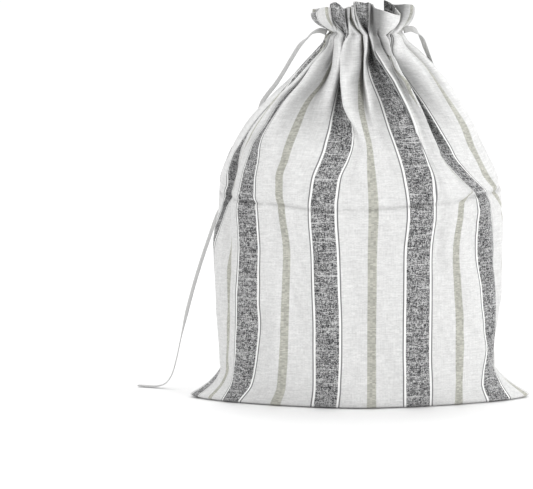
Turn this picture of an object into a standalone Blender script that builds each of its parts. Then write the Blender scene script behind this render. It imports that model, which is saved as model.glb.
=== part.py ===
"""A linen bread bag that stands by itself: a striped bag with a squashed-in base, pointed ears at the
lower corners, a neck drawn together by a flat tape, and a ruffle above the neck.

The bag is two pieces of cloth, front and back, sewn along both sides and along the base. Each is a
sheet of one thickness. Its outer face is worked out from level sections (SECTIONS), from the places
where the woven stripes cross them (STRIPES), and from tables of folds, gathers and lobes.

A place on the cloth has two coordinates: across, in millimetres to the right of the middle beige
stripe of the flat cloth, and the height of the section that it crosses. X is to the right, the front
faces -Y, Z is up, and the origin is on the floor below the middle of the bag.
"""

import math
from collections import namedtuple

import bmesh
import bpy
import numpy as np

MM = 0.001

# Cloth and tape
CLOTH_THICK = 1.1
SEAM_GAP = 0.3  # between the two pieces of cloth, along the seams
FLAT_LEFT = -215.0  # the left seam, on the flat cloth
FLAT_RIGHT = 172.0  # the right seam, on the flat cloth
REPEAT = 82.5  # from one beige stripe to the next
TAPE_WIDE = 5.0
TAPE_THICK = 1.1

# Fineness of the sheets
COLUMNS = 54
OUTLINE_POINTS = 241
BASE_SHARES = (0.0, 0.3, 0.62, 0.88)  # rows on the underside, as shares of the way out to its edge

Section = namedtuple("Section", "height left right front back square")
SECTIONS = (
    Section(0.0, -140.5, 140.5, 61.0, 60.0, 1.50),
    Section(2.0, -144.5, 144.5, 65.5, 64.5, 1.50),
    Section(7.0, -137.0, 137.5, 68.0, 67.0, 1.60),
    Section(15.0, -126.0, 125.5, 68.5, 67.5, 1.90),
    Section(28.0, -117.5, 114.5, 69.0, 68.0, 2.35),
    Section(45.0, -117.5, 114.0, 69.5, 69.0, 2.70),
    Section(70.0, -120.0, 117.0, 70.0, 70.0, 2.90),
    Section(100.0, -121.5, 120.5, 70.0, 70.0, 3.00),
    Section(138.0, -121.5, 121.0, 69.0, 70.0, 3.00),
    Section(168.0, -120.0, 119.5, 67.5, 69.0, 3.00),
    Section(188.0, -118.5, 117.0, 65.5, 67.0, 2.90),
    Section(209.0, -110.5, 108.0, 62.0, 63.5, 2.80),
    Section(224.0, -103.0, 101.0, 58.5, 60.0, 2.70),
    Section(240.0, -93.0, 93.5, 53.5, 55.0, 2.60),
    Section(256.0, -78.5, 84.0, 47.5, 49.0, 2.50),
    Section(272.0, -61.5, 73.0, 41.0, 42.5, 2.40),
    Section(286.0, -47.5, 62.0, 35.5, 36.5, 2.30),
    Section(298.0, -36.5, 50.0, 30.5, 31.0, 2.20),
    Section(308.0, -29.0, 38.5, 26.5, 26.5, 2.10),
    Section(315.0, -26.5, 35.5, 25.0, 25.0, 2.10),
    Section(321.0, -28.5, 37.5, 26.5, 26.0, 2.10),
    Section(329.0, -34.5, 41.5, 30.5, 29.5, 2.10),
    Section(337.0, -38.0, 45.5, 34.0, 32.5, 2.10),
    Section(343.0, -38.5, 46.5, 35.0, 33.5, 2.10),
)

# Where each woven stripe crosses a level of the front, as X. D is dark and B is beige.
Stripes = namedtuple("Stripes", "height d0 b0 d1 b1 d2 b2 d3 b3 d4 b4")
STRIPES_FLAT = Stripes(None, *(REPEAT * step for step in (-2.5, -2, -1.5, -1, -0.5, 0, 0.5, 1, 1.5, 2)))
STRIPES = (
    Stripes(2, -138, -126, -110, -72, -30, 9.5, 49, 84, 118, 139.5),
    Stripes(18, -121, -114, -101, -67, -28.5, 9.5, 49, 85, 111.5, 120.5),
    Stripes(70, -119, -112, -96, -64.5, -28, 9.5, 48.5, 85, 110.5, 116.5),
    Stripes(133, -119.5, -111, -95, -62.5, -30, 10, 49, 82, 107.5, 119.5),
    Stripes(170, -115.5, -107, -96.5, -67, -32, 11, 52, 86, 106.5, 118),
    Stripes(197, -113, -106, -94.5, -69, -29, 9.5, 49.5, 73, 86, 111.5),
    Stripes(223, -101.5, -96, -86.5, -61, -18.5, 8, 42.5, 57, 69, 97),
    Stripes(241, -90, -84, -76, -54, -16.5, 4.5, 36.5, 49, 60, 88),
    Stripes(258, -75, -71, -65, -46.5, -15.5, 2.5, 31, 42, 53, 79),
    Stripes(275, -57, -53.5, -48.5, -33.5, -14.5, 0.5, 24.5, 34, 43.5, 67.5),
    Stripes(291, -42, -40, -37, -27.5, -14.5, -1, 14.5, 23.5, 32, 55.5),
    Stripes(303, -32, -31.5, -30, -25, -14, -2, 10, 20, 28, 43),
    Stripes(315, -26, -25, -24, -21.5, -14.5, -2.5, 8, 19, 27.5, 34),
    Stripes(343, -38, -37.5, -36.5, -31, -18, -8, 4.5, 15.5, 31, 39.5),
)

# Folds of the two cloths. across_top and across_base are places on the flat cloth at the fold's two
# ends, out is how far it stands out of the surface, and lean is how far it moves to the right.
Fold = namedtuple("Fold", "name across_top top across_base base half_width out lean")
FRONT_FOLDS = (
    Fold("left side valley", -168, 222, -158, 40, 26, -11.0, 0.0),
    Fold("left shoulder ridge", -106, 300, -112, 205, 20, 4.0, -3.5),
    Fold("left shoulder valley", -70, 290, -62, 215, 18, -3.0, 0.0),
    Fold("middle ridge", -20, 306, -12, 226, 13, 4.5, -3.5),
    Fold("middle valley", 18, 300, 22, 236, 14, -3.5, 0.0),
    Fold("right shoulder ridge", 78, 306, 96, 196, 17, 5.5, 4.5),
    Fold("right shoulder valley", 116, 296, 124, 206, 11, -3.5, 0.0),
    Fold("right shoulder brow", 150, 296, 152, 215, 16, 2.5, 0.0),
    Fold("left belly swell", -40, 200, -48, 60, 30, 1.6, 0.0),
    Fold("low left hollow", -66, 150, -74, 16, 24, -2.2, 0.0),
    Fold("low right hollow", 66, 130, 60, 14, 22, -1.8, 0.0),
    Fold("right side hollow", 112, 170, 116, 40, 18, -2.0, 0.0),
)
BACK_FOLDS = (
    Fold("left side valley", -172, 216, -166, 60, 20, -4.5, 0.0),
    Fold("left shoulder ridge", -118, 300, -132, 205, 18, 4.0, 2.5),
    Fold("middle ridge", -42, 304, -60, 195, 16, 4.5, -3.0),
    Fold("middle valley", -12, 300, -6, 215, 15, -3.5, 0.0),
    Fold("right shoulder ridge", 30, 302, 44, 210, 15, 4.0, -2.0),
    Fold("low swell", 20, 180, 10, 40, 34, 1.8, 0.0),
    Fold("low hollow", -50, 130, -64, 16, 26, -2.2, 0.0),
    Fold("right side hollow", 140, 180, 146, 50, 20, -2.5, 0.0),
)

# Gathers that the tape draws in below the neck, and lobes of the ruffle above it: where each crest
# is on the flat cloth, and how far it stands out from the hollows beside it.
Crest = namedtuple("Crest", "across out")
FRONT_GATHERS = (
    Crest(-190, 2.5), Crest(-146, 3.0), Crest(-100, 3.0), Crest(-58, 3.6), Crest(-30, 3.4),
    Crest(-2, 4.2), Crest(56, 3.0), Crest(81, 3.6), Crest(109, 3.4), Crest(142, 3.0),
)
FRONT_LOBES = (
    Crest(-182, 3.0), Crest(-138, 3.5), Crest(-92, 5.0), Crest(-41, 5.0),
    Crest(-10, 3.0), Crest(46, 3.0), Crest(99, 6.0), Crest(158, 4.5),
)
BACK_GATHER_COUNT, BACK_GATHER_OUT = 9, 3.2
BACK_LOBE_COUNT, BACK_LOBE_OUT = 7, 4.5
BACK_CREST_SWAY = 9.0  # how far a crest of the back leaves its even place
BACK_CREST_VARY = 0.2  # how much its size varies, as a share
GATHER_REACH = 75.0  # how far below the neck the gathers run out
NECK_HEIGHT = 315.0
NECK_HOLD = 0.25  # the share by which the tape flattens the gathers under it
TOP_HEIGHT = 343.0
TOP_UNEVEN = 2.2  # how far the ruffle's edge rises and dips
SEAM_STRIP = 22.0  # folds and gathers die away within this much of a side seam

# The tape's two strands: points of its middle line, hand-laid, and the way its width lies there.
Stop = namedtuple("Stop", "x y z width_x width_y width_z")
LEFT_STRAND = (
    Stop(-28.4, -3.0, 313.2, 0.10, 0.30, 1.00),
    Stop(-33.8, -3.0, 315.0, 0.15, 0.55, 0.80),
    Stop(-39.8, -1.5, 313.2, 0.10, 0.90, 0.30),
    Stop(-45.2, 1.0, 307.5, 0.00, 1.00, 0.10),
    Stop(-51.4, 4.0, 301.0, 0.00, 1.00, 0.05),
    Stop(-57.2, 6.5, 291.4, 0.00, 1.00, 0.05),
    Stop(-64.8, 10.0, 278.0, 0.00, 1.00, 0.10),
    Stop(-71.4, 14.0, 267.0, 0.00, 1.00, 0.10),
    Stop(-78.2, 18.5, 257.6, 0.10, 1.00, 0.15),
    Stop(-83.6, 24.5, 248.8, 0.25, 1.00, 0.15),
    Stop(-88.6, 32.5, 237.5, 0.45, 1.00, 0.10),
    Stop(-94.5, 40.0, 223.0, 0.60, 1.00, 0.05),
    Stop(-101.0, 45.5, 204.0, 0.60, 1.00, 0.00),
    Stop(-108.0, 47.0, 184.0, 0.50, 1.00, 0.00),
    Stop(-115.5, 45.5, 164.5, 0.35, 1.00, 0.00),
    Stop(-121.8, 43.0, 149.0, 0.20, 1.00, 0.00),
    Stop(-128.5, 41.0, 130.0, 0.10, 1.00, 0.00),
    Stop(-135.2, 40.0, 110.0, 0.00, 1.00, 0.00),
    Stop(-141.5, 39.5, 89.0, 0.00, 1.00, 0.00),
    Stop(-147.5, 39.5, 66.0, 0.00, 1.00, 0.00),
    Stop(-152.5, 39.5, 44.0, 0.00, 1.00, 0.00),
    Stop(-156.5, 40.0, 25.0, 0.00, 1.00, 0.00),
    Stop(-160.5, 41.0, 11.5, 0.05, 1.00, 0.00),
    Stop(-167.0, 43.0, 3.2, 0.15, 1.00, 0.00),
    Stop(-176.0, 46.0, 0.9, 0.30, 1.00, 0.00),
    Stop(-189.0, 51.0, 0.9, 0.38, 1.00, 0.00),
)
RIGHT_STRAND = (
    Stop(36.6, -3.0, 315.0, 0.05, 0.15, 1.00),
    Stop(43.0, -3.0, 316.5, -0.10, 0.15, 1.00),
    Stop(48.6, -1.5, 313.0, -0.60, 0.20, 0.80),
    Stop(52.6, 1.5, 307.0, -0.90, 0.20, 0.50),
    Stop(55.4, 6.0, 299.0, -1.00, 0.35, 0.30),
    Stop(58.6, 12.4, 290.0, -0.85, 0.65, 0.25),
    Stop(62.8, 20.8, 278.2, -0.70, 0.75, 0.20),
    Stop(67.4, 31.2, 264.6, -0.70, 0.75, 0.15),
    Stop(71.4, 40.4, 248.6, -0.75, 0.65, 0.10),
    Stop(74.6, 48.0, 229.6, -0.85, 0.50, 0.05),
    Stop(77.4, 55.2, 208.0, -0.90, 0.40, 0.05),
    Stop(79.0, 60.8, 184.0, -0.95, 0.36, 0.00),
    Stop(80.0, 63.4, 158.0, -0.95, 0.36, 0.00),
    Stop(80.0, 64.2, 132.0, -0.95, 0.36, 0.00),
)
TAPE_STEP = 8.0  # between the points of a strand's solid


def smooth_line(at, places, values):
    """Values at the places `at`, on a smooth curve through the given ones that never overshoots."""
    at = np.clip(np.asarray(at, float), places[0], places[-1])
    places, values = np.asarray(places, float), np.asarray(values, float)
    span = np.diff(places)
    slope = np.diff(values) / span
    before, after = slope[:-1], slope[1:]
    same_way = before * after > 0
    inner = np.where(same_way, 2 * before * after / np.where(same_way, before + after, 1.0), 0.0)
    tangent = np.concatenate([slope[:1], inner, slope[-1:]])
    k = np.clip(np.searchsorted(places, at, side="right") - 1, 0, len(span) - 1)
    t = (at - places[k]) / span[k]
    return (
        (2 * t**3 - 3 * t**2 + 1) * values[k]
        + (t**3 - 2 * t**2 + t) * span[k] * tangent[k]
        + (3 * t**2 - 2 * t**3) * values[k + 1]
        + (t**3 - t**2) * span[k] * tangent[k + 1]
    )


def soft_step(value, start, end):
    """0 before start, 1 after end, and a soft rise between them."""
    t = np.clip((np.asarray(value, float) - start) / (end - start), 0, 1)
    return t * t * (3 - 2 * t)


def section_at(height):
    """The level section at a height, between the rows of SECTIONS."""
    heights = [row.height for row in SECTIONS]
    sizes = [smooth_line(height, heights, [row[k] for row in SECTIONS]) for k in range(1, 6)]
    return Section(height, *(float(size) for size in sizes))


def outline(section, depth):
    """Points from the left seam to the right one round the front or back half of a section."""
    turn = np.linspace(0, math.pi, OUTLINE_POINTS)
    middle = (section.left + section.right) / 2
    half = (section.right - section.left) / 2
    power = 2 / section.square
    x = middle - half * np.sign(np.cos(turn)) * np.abs(np.cos(turn)) ** power
    y = depth * np.abs(np.sin(turn)) ** power
    y[0] = y[-1] = 0
    return x, y


def run_along(x, y):
    """The way covered along a line of points, from its first point."""
    return np.concatenate([[0], np.cumsum(np.hypot(np.diff(x), np.diff(y)))])


def stripe_run(height, x, run):
    """Where the seams and the stripes of the front cross an outline, as the way along it."""
    heights = [row.height for row in STRIPES]
    crossings = [float(smooth_line(height, heights, [row[k] for row in STRIPES])) for k in range(1, 11)]
    return [0.0] + [float(np.interp(place, x, run)) for place in crossings] + [run[-1]]


def crest_wave(across, crests):
    """A wave over the flat cloth that is 1 on each crest and -1 halfway between two, and its size."""
    places = [crest.across for crest in crests]
    beats = np.interp(across, places, np.arange(len(crests)))
    first, last = places[1] - places[0], places[-1] - places[-2]
    beats = np.where(across < places[0], (across - places[0]) / first, beats)
    beats = np.where(across > places[-1], len(crests) - 1 + (across - places[-1]) / last, beats)
    size = np.interp(across, places, [crest.out for crest in crests])
    return np.cos(2 * math.pi * beats), size


def back_crests(count, out):
    """Crests of the back cloth, nearly evenly spaced."""
    pitch = (FLAT_RIGHT - FLAT_LEFT) / count
    crests = []
    for k in range(count):
        even_place = FLAT_LEFT + pitch * (k + 0.5)
        sway = BACK_CREST_SWAY * math.sin(2.3 * k + 1)
        crests.append(Crest(even_place + sway, out * (1 + BACK_CREST_VARY * math.sin(1.7 * k))))
    return crests


def fold_shift(across, height, folds):
    """How far folds move each place out of the surface, and to the right."""
    out, right = np.zeros_like(across), np.zeros_like(across)
    for fold in folds:
        share = (height - fold.base) / (fold.top - fold.base)
        middle = fold.across_base + np.clip(share, 0, 1) * (fold.across_top - fold.across_base)
        ends = soft_step(share, -0.05, 0.3) * (1 - soft_step(share, 0.85, 1.1))
        shape = ends * np.exp(-(((across - middle) / fold.half_width) ** 2) * 2)
        out += fold.out * shape
        right += fold.lean * shape
    return out, right


def gather_shift(across, height, gathers, lobes):
    """How far the gathers below the neck and the lobes above it stand in from the outline."""
    below, below_size = crest_wave(across, gathers)
    above, above_size = crest_wave(across, lobes)
    strength = soft_step(height, NECK_HEIGHT - GATHER_REACH, NECK_HEIGHT - 8) ** 1.3
    to_lobes = soft_step(height, NECK_HEIGHT - 4, NECK_HEIGHT + 10)
    held = 1 - NECK_HOLD * soft_step(height, NECK_HEIGHT - 8, NECK_HEIGHT)
    gathered = (below - 1) * below_size * strength * held
    ruffled = (above - 1) * above_size * soft_step(height, NECK_HEIGHT - 12, NECK_HEIGHT + 14)
    return gathered * (1 - to_lobes) + ruffled * to_lobes


def level_points(across, height, side):
    """The outer face of one cloth along one level: X and Y for each place across. side is -1 in front."""
    section = section_at(height)
    depth = section.front if side < 0 else section.back
    x, y = outline(section, depth)
    run = run_along(x, y)
    if side < 0:
        flat = [FLAT_LEFT, *STRIPES_FLAT[1:], FLAT_RIGHT]
        way = smooth_line(across, flat, stripe_run(height, x, run))
        folds, gathers, lobes = FRONT_FOLDS, FRONT_GATHERS, FRONT_LOBES
    else:
        way = (across - FLAT_LEFT) / (FLAT_RIGHT - FLAT_LEFT) * run[-1]
        gathers = back_crests(BACK_GATHER_COUNT, BACK_GATHER_OUT)
        folds, lobes = BACK_FOLDS, back_crests(BACK_LOBE_COUNT, BACK_LOBE_OUT)
    out, along = fold_shift(across, height, folds)
    out = out + gather_shift(across, height, gathers, lobes)
    near_seam = np.minimum(across - FLAT_LEFT, FLAT_RIGHT - across)
    free = soft_step(near_seam, 0, SEAM_STRIP)
    way = np.clip(way + along * free, 0, run[-1])
    tangent_x = np.interp(way, run, np.gradient(x, run))
    tangent_y = np.interp(way, run, np.gradient(y, run))
    length = np.hypot(tangent_x, tangent_y)
    out_x, out_y = -tangent_y / length, tangent_x / length
    here_x = np.interp(way, run, x) + out_x * out * free
    here_y = np.interp(way, run, y) + out_y * out * free
    here_y = np.maximum(here_y, 0.0)
    return here_x, side * (here_y + SEAM_GAP / 2)


def edge_height(across, height, side):
    """Heights of a level's places: level below, and wavy at the ruffle's edge."""
    wave = np.sin(across / 19 + 1.2 * side) + 0.6 * np.sin(across / 8.3 + side)
    return height + TOP_UNEVEN / 1.6 * wave * soft_step(height, NECK_HEIGHT + 6, TOP_HEIGHT)


def face_grid(side):
    """The outer face of one cloth as rows of points, from the base seam to the ruffle's edge."""
    across = np.linspace(FLAT_LEFT, FLAT_RIGHT, COLUMNS + 1)
    edge_x, edge_y = level_points(across, 0.0, side)
    seam_y = side * SEAM_GAP / 2
    rows = []
    for share in BASE_SHARES:
        rows.append(np.stack([edge_x, seam_y + (edge_y - seam_y) * share, np.zeros_like(edge_x)], axis=1))
    for height in [row.height for row in SECTIONS]:
        x, y = level_points(across, height, side)
        rows.append(np.stack([x, y, edge_height(across, height, side)], axis=1))
    return np.array(rows)


def inward(normal, on_seam):
    """The way to the inner face from a point, for one unit of thickness. It stays level with the seam."""
    way = -np.array(normal)
    if on_seam:
        way[1] = 0
        way /= max(np.dot(way, way) ** 0.5, 0.5) ** 2
    return way


def sheet(name, side, colour):
    """One cloth as a closed sheet: its outer face, an inner face a thickness inside, and its rims."""
    grid = face_grid(side)
    row_count, column_count = grid.shape[:2]
    bm = bmesh.new()
    outer = [[bm.verts.new(point * MM) for point in row] for row in grid]
    for r in range(row_count - 1):
        for c in range(column_count - 1):
            corners = [outer[r][c], outer[r][c + 1], outer[r + 1][c + 1], outer[r + 1][c]]
            bm.faces.new(corners if side < 0 else corners[::-1])
    bm.normal_update()
    inner = []
    for r in range(row_count):
        row = []
        for c in range(column_count):
            on_seam = r == 0 or c in (0, column_count - 1)
            place = grid[r, c] + inward(outer[r][c].normal, on_seam) * CLOTH_THICK
            place[1] = side * max(side * place[1], SEAM_GAP / 2)
            row.append(bm.verts.new(place * MM))
        inner.append(row)
    for r in range(row_count - 1):
        for c in range(column_count - 1):
            corners = [inner[r][c], inner[r + 1][c], inner[r + 1][c + 1], inner[r][c + 1]]
            bm.faces.new(corners if side < 0 else corners[::-1])
    rim = [(0, c) for c in range(column_count)]
    rim += [(r, column_count - 1) for r in range(1, row_count)]
    rim += [(row_count - 1, c) for c in range(column_count - 2, -1, -1)]
    rim += [(r, 0) for r in range(row_count - 2, 0, -1)]
    for (r, c), (next_r, next_c) in zip(rim, rim[1:] + rim[:1]):
        corners = [outer[next_r][next_c], outer[r][c], inner[r][c], inner[next_r][next_c]]
        bm.faces.new(corners if side < 0 else corners[::-1])
    bmesh.ops.triangulate(bm, faces=bm.faces, quad_method="SHORT_EDGE")
    return finished(name, bm, colour, 0.85)


def finished(name, bm, colour, roughness):
    """A smooth-shaded object made of a bmesh, with its own material."""
    mesh = bpy.data.meshes.new(name)
    bm.to_mesh(mesh)
    bm.free()
    mesh.shade_smooth()
    thing = bpy.data.objects.new(name, mesh)
    bpy.context.collection.objects.link(thing)
    material = bpy.data.materials.new(name)
    material.use_nodes = True
    shader = material.node_tree.nodes["Principled BSDF"]
    shader.inputs["Base Color"].default_value = (*colour, 1)
    shader.inputs["Roughness"].default_value = roughness
    mesh.materials.append(material)
    return thing


def strand_line(stops):
    """The tape's middle line and the way its width lies, at even steps along a strand."""
    table = np.array(stops)
    run = np.concatenate([[0], np.cumsum(np.linalg.norm(np.diff(table[:, :3], axis=0), axis=1))])
    steps = np.linspace(0, run[-1], int(run[-1] / TAPE_STEP) + 1)
    line = np.stack([smooth_line(steps, run, table[:, k]) for k in range(3)], axis=1)
    width = np.stack([np.interp(steps, run, table[:, k]) for k in range(3, 6)], axis=1)
    return line, width


def tape(name, stops, colour):
    """A strand of flat tape as a closed ribbon along its stops."""
    line, width = strand_line(stops)
    along = np.gradient(line, axis=0)
    along /= np.linalg.norm(along, axis=1)[:, None]
    width -= along * np.sum(along * width, axis=1)[:, None]
    width /= np.linalg.norm(width, axis=1)[:, None]
    face = np.cross(along, width)
    bm = bmesh.new()
    rings = []
    for point, wide, thick in zip(line, width * TAPE_WIDE / 2, face * TAPE_THICK / 2):
        corners = (wide + thick, wide * -1 + thick, wide * -1 - thick, wide - thick)
        rings.append([bm.verts.new((point + corner) * MM) for corner in corners])
    for ring, after in zip(rings, rings[1:]):
        for k in range(4):
            bm.faces.new([ring[k], ring[(k + 1) % 4], after[(k + 1) % 4], after[k]])
    bm.faces.new(rings[0][::-1])
    bm.faces.new(rings[-1])
    bmesh.ops.recalc_face_normals(bm, faces=bm.faces)
    bmesh.ops.triangulate(bm, faces=bm.faces)
    return finished(name, bm, colour, 0.8)


def main():
    for thing in list(bpy.data.objects):
        bpy.data.objects.remove(thing, do_unlink=True)
    linen = (0.80, 0.80, 0.79)
    cotton = (0.88, 0.88, 0.87)
    sheet("front_panel", -1, linen)
    sheet("back_panel", 1, linen)
    tape("drawstring_left", LEFT_STRAND, cotton)
    tape("drawstring_right", RIGHT_STRAND, cotton)


main()
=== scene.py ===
"""Dresses the linen bread bag: woven stripes, gathers and ruffle, and two strands of cotton tape.

The cloth follows the level sections, stripe places and folds of the model it is dressed on, at a
finer pitch and with its creases. A place on the cloth is `across`, in millimetres to the right of
the middle beige stripe of the flat cloth, and a height. X is to the right, the front faces -Y.
"""

from __future__ import annotations

import logging
import math
from dataclasses import dataclass
from enum import Enum
from typing import NamedTuple, Sequence

import bpy
import numpy as np
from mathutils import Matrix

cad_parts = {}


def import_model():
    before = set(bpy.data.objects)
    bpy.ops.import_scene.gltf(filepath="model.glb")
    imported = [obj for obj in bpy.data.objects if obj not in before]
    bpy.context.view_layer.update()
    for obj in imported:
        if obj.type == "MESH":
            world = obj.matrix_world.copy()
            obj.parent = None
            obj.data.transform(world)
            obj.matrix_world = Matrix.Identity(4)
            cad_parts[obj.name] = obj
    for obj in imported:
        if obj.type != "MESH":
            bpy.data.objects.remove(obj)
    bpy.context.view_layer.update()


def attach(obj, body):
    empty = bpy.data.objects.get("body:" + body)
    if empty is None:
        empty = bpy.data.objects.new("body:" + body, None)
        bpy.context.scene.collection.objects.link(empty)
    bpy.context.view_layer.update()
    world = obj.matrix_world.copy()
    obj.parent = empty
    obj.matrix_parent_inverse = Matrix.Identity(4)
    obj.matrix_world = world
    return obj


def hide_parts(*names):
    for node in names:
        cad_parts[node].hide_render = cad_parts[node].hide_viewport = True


LOG = logging.getLogger("bread_bag")
MM = 0.001

FLAT_LEFT = -225.0  # the left seam, on the flat cloth
FLAT_RIGHT = 176.0  # the right seam, on the flat cloth
FLAT_WIDE = FLAT_RIGHT - FLAT_LEFT
REPEAT = 82.5  # from one beige stripe to the next
NECK_HEIGHT = 315.0


class Section(NamedTuple):
    """Half sizes of the bag at one height, in millimetres, and how square it is there."""

    height: float
    left: float
    right: float
    front: float
    back: float
    square: float


class Stripes(NamedTuple):
    """Where each woven stripe crosses one level of the front, as X. D is dark and B is beige.

    Each is the stripe's middle, but b3 is a place just left of its stripe.
    """

    height: float
    d0: float
    b0: float
    d1: float
    b1: float
    d2: float
    b2: float
    d3: float
    b3: float
    d4: float
    b4: float


class Widths(NamedTuple):
    """How wide the dark stripes of the front show at one level, from left to right."""

    height: float
    d0: float
    d1: float
    d2: float
    d3: float
    d4: float


class Fold(NamedTuple):
    """A soft ridge or valley: its two ends on the flat cloth, how far it stands out, and its lean."""

    name: str
    across_top: float
    top: float
    across_base: float
    base: float
    half_width: float
    out: float
    lean: float


class Crest(NamedTuple):
    """The crest of a gather below the neck: its place, how far it stands out, and its lean."""

    across: float
    out: float
    lean: float


class Bend(NamedTuple):
    """A bend of the ruffle's edge: its place on the flat cloth, and where it is in space."""

    across: float
    x: float
    y: float
    z: float


class Stop(NamedTuple):
    """A point of the tape's middle line, and the way that its width lies there."""

    x: float
    y: float
    z: float
    width_x: float
    width_y: float
    width_z: float


class Patch(NamedTuple):
    """A patch of the front cloth where painted shade is changed, and where it comes in and goes out."""

    name: str
    share: float
    across_in: tuple[float, float]
    across_out: tuple[float, float]
    up_in: tuple[float, float]
    up_out: tuple[float, float]

    def strength(self, across: np.ndarray, up: np.ndarray) -> np.ndarray:
        """Return how strong the painted shade is at each place, from 0 to its share."""
        here = between(across, self.across_in, self.across_out) * between(up, self.up_in, self.up_out)
        return self.share * here


class Wave(NamedTuple):
    """One kind of unevenness: its usual wavelength or half width, and how far it stands out."""

    long: float
    high: float


class Side(Enum):
    """Which of the two cloths a panel is. The value is the sign of Y on its side."""

    FRONT = -1
    BACK = 1


SECTIONS = (
    Section(0.0, -140.5, 140.5, 61.0, 60.0, 1.50),
    Section(2.0, -144.5, 144.5, 65.5, 64.5, 1.50),
    Section(7.0, -137.0, 137.5, 68.0, 67.0, 1.60),
    Section(15.0, -126.0, 125.5, 68.5, 67.5, 1.90),
    Section(28.0, -117.5, 114.5, 69.0, 68.0, 2.35),
    Section(45.0, -117.5, 114.0, 69.5, 69.0, 2.70),
    Section(70.0, -120.0, 117.0, 70.0, 70.0, 2.90),
    Section(100.0, -121.5, 120.5, 70.0, 70.0, 3.00),
    Section(138.0, -121.5, 121.0, 69.0, 70.0, 3.00),
    Section(168.0, -120.0, 119.5, 67.5, 69.0, 3.00),
    Section(188.0, -118.5, 117.0, 65.5, 67.0, 2.90),
    Section(209.0, -110.5, 108.0, 62.0, 63.5, 2.80),
    Section(224.0, -103.0, 101.0, 58.5, 60.0, 2.70),
    Section(240.0, -93.0, 93.5, 53.5, 55.0, 2.60),
    Section(256.0, -78.5, 84.0, 47.5, 49.0, 2.50),
    Section(272.0, -61.5, 73.0, 41.0, 42.5, 2.40),
    Section(286.0, -47.5, 62.0, 35.5, 36.5, 2.30),
    Section(298.0, -36.5, 50.0, 30.5, 31.0, 2.20),
    Section(308.0, -29.0, 38.5, 26.5, 26.5, 2.10),
    Section(315.0, -26.5, 35.5, 25.0, 25.0, 2.10),
    Section(321.0, -28.5, 37.5, 26.5, 26.0, 2.10),
    Section(329.0, -34.5, 41.5, 30.5, 29.5, 2.10),
    Section(337.0, -38.0, 45.5, 34.0, 32.5, 2.10),
    Section(343.0, -38.5, 46.5, 35.0, 33.5, 2.10),
)
STRIPES = (
    Stripes(2, -138, -126, -110, -72, -30, 9.5, 49, 79.5, 118, 139.5),
    Stripes(18, -121, -114, -101, -67, -28.5, 9.5, 49, 80.5, 111.5, 120),
    Stripes(50, -118, -112, -97.5, -65, -28, 9.5, 48.5, 80.5, 113.5, 117),
    Stripes(70, -119, -112, -96, -64.5, -28, 9.5, 48.5, 80.5, 112.5, 117),
    Stripes(100, -119.5, -112, -95.5, -63.5, -29, 9.8, 48.8, 79, 110.5, 119),
    Stripes(133, -119.5, -111, -95, -62.5, -30, 10, 49, 77.5, 107.2, 119.5),
    Stripes(167, -117, -111.5, -96.5, -66.5, -32, 11, 52, 81.5, 107, 118),
    Stripes(175, -115.2, -110.5, -96.5, -67.5, -32, 11, 51.8, 82.5, 105.3, 117.5),
    Stripes(184, -113.4, -108.5, -96, -69, -31, 10.5, 51, 94.5, 100.8, 115),
    Stripes(197, -111, -106.5, -94.5, -69, -29, 9.5, 49.5, 82, 88.5, 106.5),
    Stripes(213, -105.4, -101.4, -90, -64, -22, 8.3, 44.8, 68, 74.8, 98.5),
    Stripes(223, -99.6, -95.8, -86.5, -61, -18.5, 7.5, 41.4, 62.5, 69.8, 92.5),
    Stripes(241, -88.0, -84.8, -76, -54, -16, 4, 35.7, 52.5, 59.8, 84),
    Stripes(258, -73.2, -71.2, -65, -46.5, -16, 1, 29.2, 43, 50.3, 74),
    Stripes(275, -57.2, -55.4, -49, -33.5, -15.5, 0.5, 21, 33.8, 40.2, 63.5),
    Stripes(291, -42.2, -41.0, -37.2, -27.5, -14.5, 2, 14, 25.5, 31.2, 51.5),
    Stripes(303, -32, -31.3, -29.5, -25, -14.5, 2.5, 10.6, 21.5, 28, 41.5),
    Stripes(315, -26, -25.4, -24, -21.5, -14.5, 1.5, 8, 20.5, 27.5, 34),
)
WIDTHS = (
    Widths(2, 5, 13, 19, 20, 17),
    Widths(18, 5, 15, 19, 20, 14),
    Widths(50, 5, 16, 20, 20, 11),
    Widths(100, 3, 16.5, 20, 20, 12),
    Widths(133, 2, 15.5, 20, 20, 13.5),
    Widths(167, 2.4, 15.3, 20, 20, 10),
    Widths(184, 4.6, 12, 20, 20.5, 9.5),
    Widths(197, 5.2, 10.5, 20, 22, 9.5),
    Widths(213, 3.8, 9.5, 21, 21, 10.5),
    Widths(223, 1.8, 8.5, 21, 21.2, 11),
    Widths(241, 1, 5.5, 18, 23.5, 11.5),
    Widths(258, 1, 7, 13, 22.8, 12),
    Widths(275, 1, 5.5, 9, 22, 10),
    Widths(291, 0.9, 3.5, 4, 16, 8),
    Widths(303, 0.8, 2.5, 2.5, 6.8, 5),
    Widths(315, 0.8, 2, 3, 2.2, 3),
)
DARK_FLAT = tuple(REPEAT * step for step in (-2.5, -1.5, -0.5, 0.5, 1.5))
BEIGE_FLAT = {4: -REPEAT, 6: 0.0, 8: REPEAT - 5.0}  # by the column of Stripes; b3's is beside its stripe
DARK_HALF = 10.3  # half of a dark stripe's width on the flat cloth
BEIGE_HALF = 4.1  # half of a beige stripe's width there
LINES_WIDE = 3.2  # the white and the grey line beside a dark stripe, together
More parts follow.
